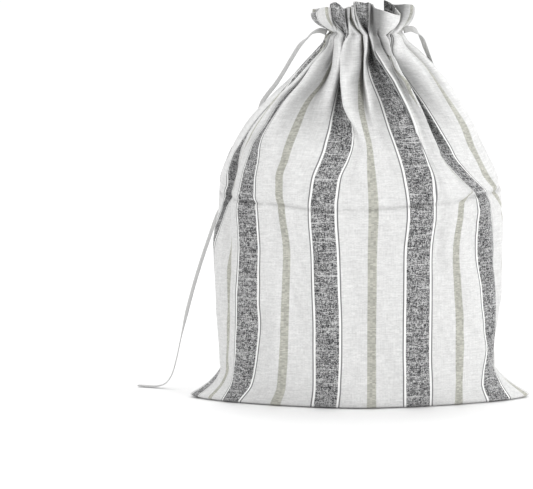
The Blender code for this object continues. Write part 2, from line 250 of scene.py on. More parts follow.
FRONT_FOLDS = (
    Fold("left side valley", -160, 222, -163, 40, 15, -5.0, 0.0),
    Fold("left shoulder ridge", -106, 300, -112, 205, 20, 4.0, -3.5),
    Fold("left shoulder valley", -70, 290, -62, 215, 18, -3.0, 0.0),
    Fold("middle ridge", -20, 306, -12, 226, 13, 4.5, -3.5),
    Fold("middle valley", 18, 300, 22, 236, 14, -3.5, 0.0),
    Fold("right shoulder ridge", 78, 306, 96, 196, 17, 5.5, 4.5),
    Fold("right shoulder valley", 116, 296, 124, 206, 11, -3.5, 0.0),
    Fold("right shoulder brow", 150, 296, 152, 215, 16, 2.5, 0.0),
    Fold("left belly swell", -40, 200, -48, 60, 30, 1.6, 0.0),
    Fold("low left hollow", -66, 150, -74, 16, 24, -2.2, 0.0),
    Fold("low right hollow", 66, 130, 60, 14, 22, -1.8, 0.0),
    Fold("right side hollow", 112, 170, 116, 40, 18, -2.0, 0.0),
)
FRONT_CREASES = (
    Fold("shoulder left of the beige stripe", -98, 312, -104, 232, 9, -5.0, 0.0),
    Fold("ridge over the second dark stripe", -60, 314, -66, 226, 11, 3.5, 2.5),
    Fold("second dark stripe's valley", -47, 316, -44, 212, 12, -6.5, 0.0),
    Fold("middle ridge", -12, 316, -20, 236, 12, 4.5, -6.0),
    Fold("left side roll", -192, 158, -193, 10, 13, 3.0, 0.0),
    Fold("left shoulder roll", -146, 292, -150, 205, 13, 4.5, 3.0),
    Fold("middle ridge's hollow", 4, 300, 2, 262, 8, -3.2, 0.0),
    Fold("third dark stripe's face", 41, 292, 41, 212, 14, 5.0, 0.0),
    Fold("curl right of the third dark stripe", 56, 317, 57, 288, 4.5, 3.5, 0.0),
    Fold("slit right of the curl", 63.5, 317, 64, 290, 3.5, -4.0, 0.0),
    Fold("first thin pleat", 70, 317, 70, 284, 4.5, 3.5, 0.0),
    Fold("slit right of it", 77, 317, 77, 286, 3.5, -4.0, 0.0),
    Fold("second thin pleat", 88, 317, 88, 282, 5, 3.0, 0.0),
    Fold("slit right of that", 98, 317, 98, 286, 4, -4.5, 0.0),
    Fold("knot of cloth", 106, 317, 107, 296, 4.5, 3.5, -1.0),
    Fold("slit beside the knot", 129, 317, 130, 288, 4, -4.0, 0.0),
    Fold("right pleat", 138, 317, 138, 292, 5, 2.5, 0.0),
    Fold("left thin pleat", -72, 317, -76, 284, 6, 2.5, 1.0),
    Fold("left slit", -84, 317, -90, 280, 5, -3.5, 0.0),
    Fold("slit in the second ridge", -33, 317, -30, 284, 3.5, -3.5, 0.0),
    Fold("slit in the middle ridge", -10, 317, -13, 282, 4, -5.0, 0.0),
    Fold("middle ridge, right", 20, 316, 12, 250, 9, 4.0, 1.0),
    Fold("third dark stripe's valley", 38, 318, 33, 283, 8, -7.0, 0.0),
    Fold("ridge over the third dark stripe", 60, 310, 58, 215, 7, 3.0, -4.0),
    Fold("hollow right of the ridge", 76, 312, 74, 270, 6, -1.6, 0.0),
    Fold("second ridge right", 92, 312, 92, 236, 9, 4.0, 1.0),
    Fold("fourth dark stripe's valley", 114, 316, 116, 214, 10, -4.5, 0.0),
    Fold("right shoulder's edge", 132, 312, 134, 205, 9, 3.0, -3.0),
    Fold("right shoulder's hollow", 156, 308, 158, 240, 8, -2.5, 0.0),
    Fold("long fold beside the second dark stripe", -22, 236, -26, 150, 9, -1.3, 0.0),
    Fold("long fold beside the beige stripe", -92, 232, -96, 120, 12, -1.6, 0.0),
    Fold("long swell under the left shoulder", -74, 228, -78, 130, 12, 1.8, 0.0),
    Fold("long fold in the middle", 14, 240, 20, 176, 8, -1.4, 0.0),
    Fold("fold right of the third dark stripe", 62, 215, 58, 110, 9, -1.6, 0.0),
    Fold("swell right of the third dark stripe", 74, 205, 72, 96, 9, 1.6, 0.0),
    Fold("fold at the fourth dark stripe", 104, 205, 108, 120, 8, -2.0, 0.0),
    Fold("right side ridge", 122, 190, 128, 40, 9, 2.4, 0.0),
    Fold("right side fold", 138, 176, 142, 30, 9, -3.0, 0.0),
    Fold("low fold left", -108, 84, -120, 6, 12, -2.4, 0.0),
    Fold("low swell left", -88, 96, -96, 10, 12, 1.8, 0.0),
    Fold("low fold in the middle", 10, 66, 16, 3, 12, -1.5, 0.0),
    Fold("low fold right", 92, 74, 100, 4, 10, -2.0, 0.0),
)
BACK_FOLDS = (
    Fold("left side valley", -172, 216, -166, 60, 20, -4.5, 0.0),
    Fold("left shoulder ridge", -118, 300, -132, 205, 18, 4.0, 2.5),
    Fold("middle ridge", -42, 304, -60, 195, 16, 4.5, -3.0),
    Fold("middle valley", -12, 300, -6, 215, 15, -3.5, 0.0),
    Fold("right shoulder ridge", 30, 302, 44, 210, 15, 4.0, -2.0),
    Fold("low swell", 20, 180, 10, 40, 34, 1.8, 0.0),
    Fold("low hollow", -50, 130, -64, 16, 26, -2.2, 0.0),
    Fold("right side hollow", 140, 180, 146, 50, 20, -2.5, 0.0),
)
BACK_CREASES = (
    Fold("left shoulder's fold", -150, 312, -160, 210, 10, -4.5, 0.0),
    Fold("left ridge", -98, 314, -108, 226, 10, 4.0, 3.0),
    Fold("left valley", -62, 316, -70, 214, 11, -5.5, 0.0),
    Fold("middle ridge", -24, 316, -20, 230, 11, 4.5, -5.0),
    Fold("middle valley", 10, 316, 12, 205, 11, -5.5, 0.0),
    Fold("right ridge", 46, 314, 50, 222, 10, 4.0, 3.0),
    Fold("right valley", 82, 316, 90, 212, 11, -5.0, 0.0),
    Fold("right shoulder's ridge", 118, 312, 124, 214, 9, 3.5, 2.0),
    Fold("long fold left", -84, 215, -92, 110, 12, -1.8, 0.0),
    Fold("long swell", -30, 210, -34, 90, 14, 1.6, 0.0),
    Fold("long fold right", 60, 205, 66, 100, 11, -1.8, 0.0),
    Fold("right side fold", 132, 180, 138, 36, 10, -2.6, 0.0),
    Fold("low fold left", -110, 86, -122, 5, 13, -2.2, 0.0),
    Fold("low fold right", 94, 76, 102, 4, 12, -2.2, 0.0),
)
FRONT_GATHERS = (
    Crest(-190, 3.5, 0.0), Crest(-146, 4.0, 0.0), Crest(-100, 4.0, -0.6), Crest(-62, 5.0, -0.8),
    Crest(-33, 5.0, -1.4), Crest(-10, 4.4, -1.6), Crest(18, 7.0, -2.2), Crest(60, 3.6, -2.0),
    Crest(84, 1.7, 0.0), Crest(106, 2.8, 0.4), Crest(146, 5.0, 1.0),
)
BACK_GATHERS = (
    Crest(-194, 4.0, 0.0), Crest(-152, 5.5, 0.5), Crest(-118, 5.0, -0.8), Crest(-78, 6.0, -1.0),
    Crest(-44, 5.5, 0.8), Crest(-6, 6.5, -1.2), Crest(28, 5.0, 0.6), Crest(66, 6.2, 1.2),
    Crest(98, 5.2, -0.6), Crest(136, 5.0, 0.8),
)
FRONT_RUFFLE = (
    Bend(-225, -38.5, 0.0, 333), Bend(-192, -33.5, -4.0, 334), Bend(-172, -40.5, -7.0, 334),
    Bend(-152, -36.0, -9.0, 333), Bend(-136, -42.0, -11.0, 331), Bend(-124, -40.5, -18.0, 331.5),
    Bend(-112, -37.0, -24.5, 334), Bend(-97, -33.5, -29.0, 338), Bend(-82, -28.5, -31.5, 339),
    Bend(-70, -25.0, -27.5, 338), Bend(-60, -24.5, -18.5, 337), Bend(-52, -26.0, -24.5, 340),
    Bend(-45, -22.0, -30.5, 343), Bend(-38, -16.5, -32.5, 340), Bend(-30, -13.0, -29.0, 336),
    Bend(-22, -13.5, -18.0, 336), Bend(-13, -10.0, -26.5, 338), Bend(-4, -10.5, -16.0, 337),
    Bend(5, -6.5, -26.0, 338), Bend(14, -7.0, -15.0, 338), Bend(23, -5.0, -21.0, 341),
    Bend(29, -4.8, -19.0, 342), Bend(36, -2.0, -21.0, 342), Bend(46, 4.6, -21.5, 341),
    Bend(51, 6.6, -23.5, 342), Bend(53.5, 8.2, -21.0, 341), Bend(57, 9.5, -12.0, 339),
    Bend(61, 11.0, -20.0, 337), Bend(66, 16.5, -31.0, 336.5), Bend(71.5, 23.5, -35.5, 335),
    Bend(75.5, 29.5, -34.0, 333), Bend(79, 33.8, -28.5, 331.5), Bend(88, 34.0, -23.5, 332),
    Bend(102, 33.0, -20.0, 333), Bend(112, 30.5, -16.5, 335.5), Bend(123, 25.5, -13.0, 340),
    Bend(133, 21.0, -11.0, 342), Bend(139, 21.5, -8.5, 341), Bend(147, 29.0, -10.0, 338),
    Bend(155, 37.5, -17.5, 339.5), Bend(163, 43.5, -13.0, 338.5), Bend(176, 46.5, 0.0, 334),
)
BACK_RUFFLE = (
    Bend(-225, -38.5, 0.0, 333), Bend(-198, -34.0, 6.0, 331), Bend(-178, -41.0, 10.0, 330),
    Bend(-160, -33.0, 15.0, 329), Bend(-140, -38.0, 21.0, 329), Bend(-124, -31.0, 25.0, 328),
    Bend(-106, -27.0, 20.0, 328), Bend(-90, -25.0, 29.0, 328), Bend(-72, -16.0, 31.5, 328),
    Bend(-56, -12.0, 22.0, 327), Bend(-42, -11.0, 31.0, 327), Bend(-22, -1.0, 33.5, 327),
    Bend(-6, 3.0, 23.0, 326), Bend(8, 3.5, 32.0, 326), Bend(26, 12.0, 33.5, 326),
    Bend(40, 15.0, 23.0, 326), Bend(54, 17.0, 31.0, 327), Bend(72, 26.0, 31.5, 328),
    Bend(88, 29.0, 21.0, 328), Bend(102, 32.0, 27.0, 329), Bend(120, 40.0, 21.0, 330),
    Bend(136, 36.0, 14.0, 331), Bend(152, 44.0, 10.0, 332), Bend(163, 41.0, 5.0, 333),
    Bend(176, 46.5, 0.0, 334),
)
ALWAYS = (-1001.0, -1000.0)  # a patch that comes in here starts at the cloth's end
NEVER = (1000.0, 1001.0)  # and one that goes out here runs to the other end
# Painted shade on the first dark stripe where it turns round the left side, and on both ends of the ruffle.
FRONT_SHADES = (
    Patch("dark stripe at the left side", 0.6, (-218.25, -215.25), (-197.25, -194.25), (140, 160), (212, 226)),
    Patch("right end of the ruffle", 0.55, (134, 142), NEVER, (318, 326), NEVER),
    Patch("left end of the ruffle", 0.28, ALWAYS, (-142, -128), (318, 326), NEVER),
)
# Painted shade taken off the band right of the third dark stripe, which faces the light.
LIGHT_BAND = Patch("light band right of the third dark stripe", 0.85, (48, 53), (74, 82), ALWAYS, (296, 306))
LEFT_STRAND = (
    Stop(-28.4, -3.0, 313.2, 0.10, 0.30, 1.00),
    Stop(-33.8, -3.0, 315.0, 0.15, 0.55, 0.80),
    Stop(-39.8, -1.5, 313.2, 0.10, 0.90, 0.30),
    Stop(-45.2, 1.0, 307.5, 0.00, 1.00, 0.10),
    Stop(-51.4, 4.0, 301.0, -0.55, 1.00, 0.45),
    Stop(-57.2, 6.5, 291.4, -0.55, 1.00, 0.45),
    Stop(-64.8, 10.0, 278.0, -0.55, 1.00, 0.45),
    Stop(-71.4, 14.0, 267.0, -0.55, 1.00, 0.45),
    Stop(-78.2, 18.5, 257.6, -0.55, 1.00, 0.45),
    Stop(-83.6, 24.5, 248.8, -0.55, 1.00, 0.45),
    Stop(-88.6, 32.5, 237.5, 0.45, 1.00, 0.10),
    Stop(-94.5, 40.0, 223.0, 0.60, 1.00, 0.05),
    Stop(-101.0, 45.5, 204.0, 0.60, 1.00, 0.00),
    Stop(-108.0, 47.0, 184.0, 0.50, 1.00, 0.00),
    Stop(-115.5, 45.5, 164.5, 0.35, 1.00, 0.00),
    Stop(-121.8, 43.0, 149.0, -0.60, 1.00, 0.10),
    Stop(-128.5, 41.0, 130.0, -0.60, 1.00, 0.10),
    Stop(-135.2, 40.0, 110.0, -0.60, 1.00, 0.10),
    Stop(-141.5, 39.5, 89.0, -0.60, 1.00, 0.10),
    Stop(-147.5, 39.5, 66.0, -0.60, 1.00, 0.10),
    Stop(-152.5, 39.5, 44.0, 0.00, 1.00, 0.00),
    Stop(-156.5, 40.0, 25.0, 0.00, 1.00, 0.00),
    Stop(-160.5, 41.0, 11.5, 0.05, 1.00, 0.00),
    Stop(-167.0, 43.0, 3.2, 0.15, 1.00, 0.00),
    Stop(-176.0, 46.0, 0.9, 0.30, 1.00, 0.00),
    Stop(-189.0, 51.0, 0.9, 0.38, 1.00, 0.00),
)
RIGHT_STRAND = (
    Stop(36.6, -3.0, 315.0, 0.05, 0.15, 1.00),
    Stop(43.0, -3.0, 316.5, -0.10, 0.15, 1.00),
    Stop(48.6, -1.5, 313.0, -0.60, 0.20, 0.80),
    Stop(52.6, 1.5, 307.0, -0.90, 0.20, 0.50),
    Stop(55.4, 6.0, 299.0, -1.00, 0.35, 0.30),
    Stop(58.6, 12.4, 290.0, -0.85, 0.65, 0.25),
    Stop(62.8, 20.8, 278.2, -0.70, 0.75, 0.20),
    Stop(67.4, 31.2, 264.6, -0.70, 0.75, 0.15),
    Stop(71.4, 40.4, 248.6, -0.75, 0.65, 0.10),
    Stop(74.6, 48.0, 229.6, -0.85, 0.50, 0.05),
    Stop(77.4, 55.2, 208.0, -0.90, 0.40, 0.05),
    Stop(79.0, 60.8, 184.0, -0.95, 0.36, 0.00),
    Stop(80.0, 63.4, 158.0, -0.95, 0.36, 0.00),
    Stop(80.0, 64.2, 132.0, -0.95, 0.36, 0.00),
)


def smooth_line(at: np.ndarray | float, places: Sequence[float], values: Sequence[float]) -> np.ndarray:
    """Read a smooth curve that never overshoots the values it goes through.

    Args:
        at: Where to read the curve.
        places: The known places, rising.
        values: The known values there.

    Returns:
        The curve's values at `at`.
    """
    at = np.clip(np.asarray(at, float), places[0], places[-1])
    places, values = np.asarray(places, float), np.asarray(values, float)
    span = np.diff(places)
    slope = np.diff(values) / span
    before, after = slope[:-1], slope[1:]
    same_way = before * after > 0
    inner = np.where(same_way, 2 * before * after / np.where(same_way, before + after, 1.0), 0.0)
    tangent = np.concatenate([slope[:1], inner, slope[-1:]])
    k = np.clip(np.searchsorted(places, at, side="right") - 1, 0, len(span) - 1)
    t = (at - places[k]) / span[k]
    return (
        (2 * t**3 - 3 * t**2 + 1) * values[k]
        + (t**3 - 2 * t**2 + t) * span[k] * tangent[k]
        + (3 * t**2 - 2 * t**3) * values[k + 1]
        + (t**3 - t**2) * span[k] * tangent[k + 1]
    )


def soft_step(value: np.ndarray | float, start: float, end: float) -> np.ndarray:
    """Rise softly from 0 before start to 1 after end."""
    t = np.clip((np.asarray(value, float) - start) / (end - start), 0, 1)
    return t * t * (3 - 2 * t)


def between(value: np.ndarray, comes_in: tuple[float, float], goes_out: tuple[float, float]) -> np.ndarray:
    """Rise softly from 0 to 1 over the first stretch, and fall back to 0 over the second."""
    return soft_step(value, *comes_in) * (1 - soft_step(value, *goes_out))


def smooth_over(values: np.ndarray, reach: int) -> np.ndarray:
    """Average each value with as many neighbours as reach says on both sides."""
    padded = np.concatenate([np.full(reach, values[0]), values, np.full(reach, values[-1])])
    return np.convolve(padded, np.full(2 * reach + 1, 1 / (2 * reach + 1)), mode="valid")


def wander(across: np.ndarray, up: np.ndarray, seed: int, long: float, waves: int = 14) -> np.ndarray:
    """Sum seeded waves into a smooth uneven field over the cloth.

    Args:
        across: Places across the cloth, in millimetres.
        up: Places up the cloth, in millimetres.
        seed: Which field to make.
        long: The usual wavelength, in millimetres.
        waves: How many waves are summed.

    Returns:
        The field, mostly between -1 and 1.
    """
    rng = np.random.default_rng(seed)
    total = np.zeros(np.broadcast(across, up).shape)
    for _ in range(waves):
        turn = rng.uniform(0, math.pi)
        pitch = long * rng.uniform(0.6, 1.6)
        phase = rng.uniform(0, 2 * math.pi)
        total += np.sin((across * math.cos(turn) + up * math.sin(turn)) * 2 * math.pi / pitch + phase)
    return total / math.sqrt(waves)


@dataclass
class BagForm:
    """The shape in which the bag stands, before its cloth gets a thickness."""

    seam_strip: float = 22.0  # folds and gathers die away within this much of a side seam
    calm_strip: float = 6.0  # and small unevenness within this much
    gather_reach: float = 100.0  # how far below the neck the gathers run out
    neck_hold: float = 0.25  # the share by which the tape flattens the gathers under it
    valley_sharp: float = 1.5  # more makes the ridges wider and the valleys narrower
    spread: float = 0.15  # how far the cloth slides off a crest, as a share of the pitch
    flare_early: float = 2.4  # more makes the ruffle spread sooner above the neck
    stretch: float = 1.05  # the most that a dark stripe may widen
    beige_shows: float = 6.0  # how wide the beige stripe on the right shoulder shows
    left_beige_shows: float = 1.0  # and the one at the left side
    left_held: tuple[float, float] = (105.0, 165.0)  # between these heights the stripes of the left side
    right_held: tuple[float, float] = (158.0, 180.0)  # and of the right side come to lie as the table says
    least_step: float = 1e-4  # between two places that are tucked away together
    outline_points: int = 721
    seam_gap: float = 0.1

    def section(self, height: float) -> Section:
        """Find the level section at a height.

        Args:
            height: The level's height.

        Returns:
            The section there.
        """
        heights = [row.height for row in SECTIONS]
        sizes = [smooth_line(height, heights, [row[k] for row in SECTIONS]) for k in range(1, 6)]
        return Section(height, *(float(size) for size in sizes))

    def outline(self, height: float, side: Side) -> tuple[np.ndarray, np.ndarray, np.ndarray]:
        """Follow one cloth's level outline from the left seam to the right one.

        Args:
            height: The level's height.
            side: Which cloth it is.

        Returns:
            X, the depth from the seams' plane, and the way covered, at each point.
        """
        section = self.section(height)
        depth = section.front if side is Side.FRONT else section.back
        turn = np.linspace(0, math.pi, self.outline_points)
        middle = (section.left + section.right) / 2
        half = (section.right - section.left) / 2
        power = 2 / section.square
        x = middle - half * np.sign(np.cos(turn)) * np.abs(np.cos(turn)) ** power
        y = depth * np.abs(np.sin(turn)) ** power
        y[0] = y[-1] = 0
        return x, y, np.concatenate([[0], np.cumsum(np.hypot(np.diff(x), np.diff(y)))])

    def fold_shift(
        self, across: np.ndarray, height: float, folds: Sequence[Fold]
    ) -> tuple[np.ndarray, np.ndarray]:
        """Add up what the folds do at one level.

        Args:
            across: Places on the flat cloth.
            height: The level's height.
            folds: The folds of that cloth.

        Returns:
            How far each place moves out of the surface, and along it to the right.
        """
        out, right = np.zeros_like(across), np.zeros_like(across)
        for fold in folds:
            share = (height - fold.base) / (fold.top - fold.base)
            middle = fold.across_base + np.clip(share, 0, 1) * (fold.across_top - fold.across_base)
            ends = soft_step(share, -0.05, 0.3) * (1 - soft_step(share, 0.85, 1.1))
            shape = ends * np.exp(-(((across - middle) / fold.half_width) ** 2) * 2)
            out += fold.out * shape
            right += fold.lean * shape
        return out, right

    def gather_shift(
        self, across: np.ndarray, way: np.ndarray, height: float, crests: Sequence[Crest]
    ) -> tuple[np.ndarray, np.ndarray]:
        """Shape the gathers below the neck at one level.

        Args:
            across: Places on the flat cloth.
            way: The way along the outline to each place.
            height: The level's height.
            crests: The crests of that cloth's gathers.

        Returns:
            How far each place moves out of the surface, and along it to the right.
        """
        places = [crest.across for crest in crests]
        first, last = places[1] - places[0], places[-1] - places[-2]
        beats = np.interp(across, places, np.arange(len(crests)))
        beats = np.where(across < places[0], (across - places[0]) / first, beats)
        beats = np.where(across > places[-1], len(crests) - 1 + (across - places[-1]) / last, beats)
        beats = smooth_over(beats, 3)
        size = np.interp(across, places, [crest.out for crest in crests])
        lean = np.interp(across, places, [crest.lean for crest in crests])
        crest = (1 + np.cos(2 * math.pi * beats)) / 2
        strength = soft_step(height, NECK_HEIGHT - self.gather_reach, NECK_HEIGHT - 8) ** 1.3
        held = 1 - self.neck_hold * soft_step(height, NECK_HEIGHT - 8, NECK_HEIGHT)
        out = -2 * size * (1 - crest) ** self.valley_sharp * strength * held
        pitch = np.gradient(way) / np.maximum(np.gradient(beats), 1e-6)
        along = self.spread * pitch * np.sin(2 * math.pi * beats) * strength**1.3 + lean * crest * strength
        return out, along

    def front_ways(self, height: float, x: np.ndarray, run: np.ndarray) -> tuple[list[float], list[float]]:
        """Tie places on the front cloth to the way along the outline at one height.

        Args:
            height: The level's height.
            x: The outline's X, rising.
            run: The way covered along the outline at each of them.

        Returns:
            The places on the flat cloth, rising, and the way to each.
        """
        stripes, widths = (
            [float(smooth_line(height, heights, column)) for column in columns]
            for heights, *columns in (zip(*STRIPES), zip(*WIDTHS))
        )
        knots = {place: stripes[column - 1] for column, place in BEIGE_FLAT.items()}
        for number, place in enumerate(DARK_FLAT):
            half = DARK_HALF if number else DARK_HALF + LINES_WIDE
            for end in (-1, 1):
                knots[place + end * half] = stripes[2 * number] + end * widths[number] / 2
        outer_beige = (
            (-2 * REPEAT, stripes[1], self.left_beige_shows / 2),
            (2 * REPEAT, stripes[9], self.beige_shows / 2),
        )
        for place, middle, half in outer_beige:
            for end in (-1, 1):
                knots[place + end * BEIGE_HALF] = middle + end * half
        places = sorted(knots)
        ways = [float(np.interp(knots[place], x, run)) for place in places]
        first, last = places.index(DARK_FLAT[1] - DARK_HALF), places.index(DARK_FLAT[4] + DARK_HALF)
        dark, beige = 2 * DARK_HALF * self.stretch, 2 * BEIGE_HALF * self.stretch
        ways[first] = max(ways[first], ways[first + 1] - dark)
        ways[last] = min(ways[last], ways[last - 1] + dark)
        ways[last + 2] = min(ways[last + 2], ways[last + 1] + beige)
        left, right = (float(soft_step(height, *held)) for held in (self.left_held, self.right_held))
        for k, place in enumerate(places):
            if k < first:
                even = (place - FLAT_LEFT) / (places[first] - FLAT_LEFT) * ways[first]
                ways[k] = even + (ways[k] - even) * left
            elif k > last:
                even = run[-1] - (FLAT_RIGHT - place) / (FLAT_RIGHT - places[last]) * (run[-1] - ways[last])
                ways[k] = even + (ways[k] - even) * right
        ways = [0.0, *ways, float(run[-1])]
        ways = np.maximum.accumulate(np.array(ways) + np.arange(len(ways)) * self.least_step)
        return [FLAT_LEFT, *places, FLAT_RIGHT], ways.tolist()

    def plain_places(self) -> tuple[float, ...]:
        """Return the places by which folds are laid out, where no cloth is tucked away between them."""
        edges = [place + end * DARK_HALF for place in DARK_FLAT[1:] for end in (-1, 1)]
        return (FLAT_LEFT, *edges, BEIGE_FLAT[4], BEIGE_FLAT[6], FLAT_RIGHT)

    def level(self, across: np.ndarray, height: float, side: Side, more: np.ndarray) -> np.ndarray:
        """Place one level of a cloth's outer face, up to the neck.

        Args:
            across: Places on the flat cloth.
            height: The level's height.
            side: Which cloth it is.
            more: How much further out each place stands.

        Returns:
            X, Y and Z for each place.
        """
        x, y, run = self.outline(height, side)
        whole = across
        if side is Side.FRONT:
            places, ways = self.front_ways(height, x, run)
            way = smooth_line(across, places, ways)
            plain = [k for k, place in enumerate(places) if place in self.plain_places()]
            across = np.interp(way, [ways[k] for k in plain], [places[k] for k in plain])
            more = np.interp(across, whole, more)
            folds, gathers = FRONT_FOLDS + FRONT_CREASES, FRONT_GATHERS
        else:
            way = (across - FLAT_LEFT) / FLAT_WIDE * run[-1]
            folds, gathers = BACK_FOLDS + BACK_CREASES, BACK_GATHERS
        out, along = self.fold_shift(across, height, folds)
        gathered, slid = self.gather_shift(across, way, height, gathers)
        out, along = out + gathered, along + slid
        near_seam = np.minimum(across - FLAT_LEFT, FLAT_RIGHT - across)
        free = soft_step(near_seam, 0, self.seam_strip)
        way = np.clip(way + along * free, 0, run[-1])
        tangent_x = np.interp(way, run, np.gradient(x, run))
        tangent_y = np.interp(way, run, np.gradient(y, run))
        length = np.hypot(tangent_x, tangent_y)
        out = out * free + more * soft_step(near_seam, 0, self.calm_strip)
        here_x = np.interp(way, run, x) - tangent_y / length * out
        here_y = np.maximum(np.interp(way, run, y) + tangent_x / length * out, 0.0)
        here_y = side.value * (here_y + self.seam_gap / 2)
        return np.stack([here_x, here_y, np.full_like(across, height)], axis=1)

    def ruffle(self, across: np.ndarray, side: Side, neck: np.ndarray, share: float) -> np.ndarray:
        """Place one row of the ruffle, between the neck and the edge.

        Args:
            across: Places on the flat cloth.
            side: Which cloth it is.
            neck: The row of points at the neck.
            share: How far up the ruffle the row is, from 0 to 1.

        Returns:
            X, Y and Z for each place.
        """
        bends = FRONT_RUFFLE if side is Side.FRONT else BACK_RUFFLE
        places = [bend.across for bend in bends]
        columns = list(zip(*bends))[1:]
        edge = np.stack([smooth_line(across, places, column) for column in columns], axis=1)
        edge[:, 1] = side.value * np.maximum(side.value * edge[:, 1], self.seam_gap / 2)
        flare = 1 - (1 - share) ** self.flare_early
        row = neck + (edge - neck) * flare
        row[:, 2] = neck[:, 2] + (edge[:, 2] - neck[:, 2]) * share
        return row


class Nodes:
    """Short ways to add shader nodes to one material."""

    def __init__(self, material: bpy.types.Material) -> None:
        """Start an empty node tree that ends in a Principled shader."""
        material.use_nodes = True
        self.tree = material.node_tree
        self.tree.nodes.clear()
        self.shader = self.tree.nodes.new("ShaderNodeBsdfPrincipled")
        output = self.tree.nodes.new("ShaderNodeOutputMaterial")
        self.tree.links.new(self.shader.outputs[0], output.inputs["Surface"])

    def put(self, socket: bpy.types.NodeSocket, value: object) -> None:
        """Link a socket to another, or set its value.

        Args:
            socket: The socket to feed.
            value: Another socket, or the value to set.
        """
        if isinstance(value, bpy.types.NodeSocket):
            self.tree.links.new(value, socket)
        else:
            socket.default_value = value

    def math(self, operation: str, a: object, b: object = 0.0, clamp: bool = False) -> bpy.types.NodeSocket:
        """Add a Math node.

        Args:
            operation: What it does.
            a: Its first number.
            b: Its second number.
            clamp: Whether the result stays between 0 and 1.

        Returns:
            The result.
        """
        node = self.tree.nodes.new("ShaderNodeMath")
        node.operation = operation
        node.use_clamp = clamp
        self.put(node.inputs[0], a)
        self.put(node.inputs[1], b)
        return node.outputs[0]

    def ramp(
        self, value: object, low: float, high: float, to_low: float = 0, to_high: float = 1
    ) -> bpy.types.NodeSocket:
        """Map a value from one range to another, clamped.

        Args:
            value: The value.
            low: The start of its range.
            high: The end of its range.
            to_low: What the start becomes.
            to_high: What the end becomes.

        Returns:
            The mapped value.
        """
        node = self.tree.nodes.new("ShaderNodeMapRange")
        names = ("Value", "From Min", "From Max", "To Min", "To Max")
        for name, number in zip(names, (value, low, high, to_low, to_high)):
            self.put(node.inputs[name], number)
        return node.outputs[0]

    def mix(self, factor: object, a: object, b: object) -> bpy.types.NodeSocket:
        """Mix two colours.

        Args:
            factor: The share of the second colour.
            a: The first colour.
            b: The second colour.

        Returns:
            The mixed colour.
        """
        node = self.tree.nodes.new("ShaderNodeMix")
        node.data_type = "RGBA"
        colours = [socket for socket in node.inputs if socket.type == "RGBA"]
        self.put(node.inputs[0], factor)
        self.put(colours[0], a)
        self.put(colours[1], b)
        return next(socket for socket in node.outputs if socket.type == "RGBA")

    def scaled(self, colour: object, by: object) -> bpy.types.NodeSocket:
        """Multiply a colour by a number.

        Args:
            colour: The colour.
            by: The number.

        Returns:
            The new colour.
        """
        node = self.tree.nodes.new("ShaderNodeVectorMath")
        node.operation = "SCALE"
        self.put(node.inputs[0], colour)
        self.put(node.inputs["Scale"], by)
        return node.outputs[0]

    def place(self, x: object, y: object) -> bpy.types.NodeSocket:
        """Join two numbers into a place for a texture.

        Args:
            x: The first number.
            y: The second number.

        Returns:
            The place.
        """
        node = self.tree.nodes.new("ShaderNodeCombineXYZ")
        self.put(node.inputs[0], x)
        self.put(node.inputs[1], y)
        return node.outputs[0]

    def noise(
        self, across: object, up: object, fine_across: float, fine_up: float, detail: float = 2.0
    ) -> bpy.types.NodeSocket:
        """Add a noise texture that is stretched over the flat cloth.

        Args:
            across: The place across the cloth, in metres.
            up: The place up the cloth, in metres.
            fine_across: How many of the noise's cells a metre across holds.
            fine_up: How many a metre up holds.
            detail: How many finer layers it has.

        Returns:
            Its value.
        """
        node = self.tree.nodes.new("ShaderNodeTexNoise")
        where = self.place(self.math("MULTIPLY", across, fine_across), self.math("MULTIPLY", up, fine_up))
        self.put(node.inputs["Vector"], where)
        node.inputs["Scale"].default_value = 1.0
        node.inputs["Detail"].default_value = detail
        return node.outputs[0]

    def grain(self, across: object, up: object, wide: float, high: float) -> bpy.types.NodeSocket:
        """Give each small cell of the cloth its own random number.

        Args:
            across: The place across the cloth, in metres.
            up: The place up the cloth, in metres.
            wide: A cell's width, in millimetres.
            high: A cell's height, in millimetres.

        Returns:
            A number from 0 to 1, the same all over a cell.
        """
        node = self.tree.nodes.new("ShaderNodeTexWhiteNoise")
        node.noise_dimensions = "2D"
        cell = [
            self.math("FLOOR", self.math("DIVIDE", place, size * MM))
            for place, size in ((across, wide), (up, high))
        ]
        self.put(node.inputs["Vector"], self.place(*cell))
        return node.outputs["Value"]

    def bump(
        self, height: object, strength: float, distance: float, normal: object = None
    ) -> bpy.types.NodeSocket:
        """Add a bump node.

        Args:
            height: The relief.
            strength: How much of it shows.
            distance: How high the relief stands, in metres.
            normal: The bump that it goes over, if any.

        Returns:
            The normal.
        """
        node = self.tree.nodes.new("ShaderNodeBump")
        node.inputs["Strength"].default_value = strength
        node.inputs["Distance"].default_value = distance
        self.put(node.inputs["Height"], height)
        if normal is not None:
            self.put(node.inputs["Normal"], normal)
        return node.outputs[0]

    def dress(self, colour: object, normal: object, roughness: float, sheen: float) -> None:
        """Give the shader its colour, relief and gloss.

        Args:
            colour: The base colour.
            normal: The relief.
            roughness: The shader's roughness.
            sheen: The shader's sheen weight.
        """
        self.put(self.shader.inputs["Base Color"], colour)
        self.put(self.shader.inputs["Normal"], normal)
        self.shader.inputs["Roughness"].default_value = roughness
        self.shader.inputs["Sheen Weight"].default_value = sheen

    def cloth_place(self) -> tuple[bpy.types.NodeSocket, bpy.types.NodeSocket]:
        """Read the UV map.

        Returns:
            The places across and up the flat cloth, in metres.
        """
        uv = self.tree.nodes.new("ShaderNodeUVMap")
        uv.uv_map = "cloth"
        split = self.tree.nodes.new("ShaderNodeSeparateXYZ")
        self.tree.links.new(uv.outputs[0], split.inputs[0])
        return split.outputs[0], split.outputs[1]


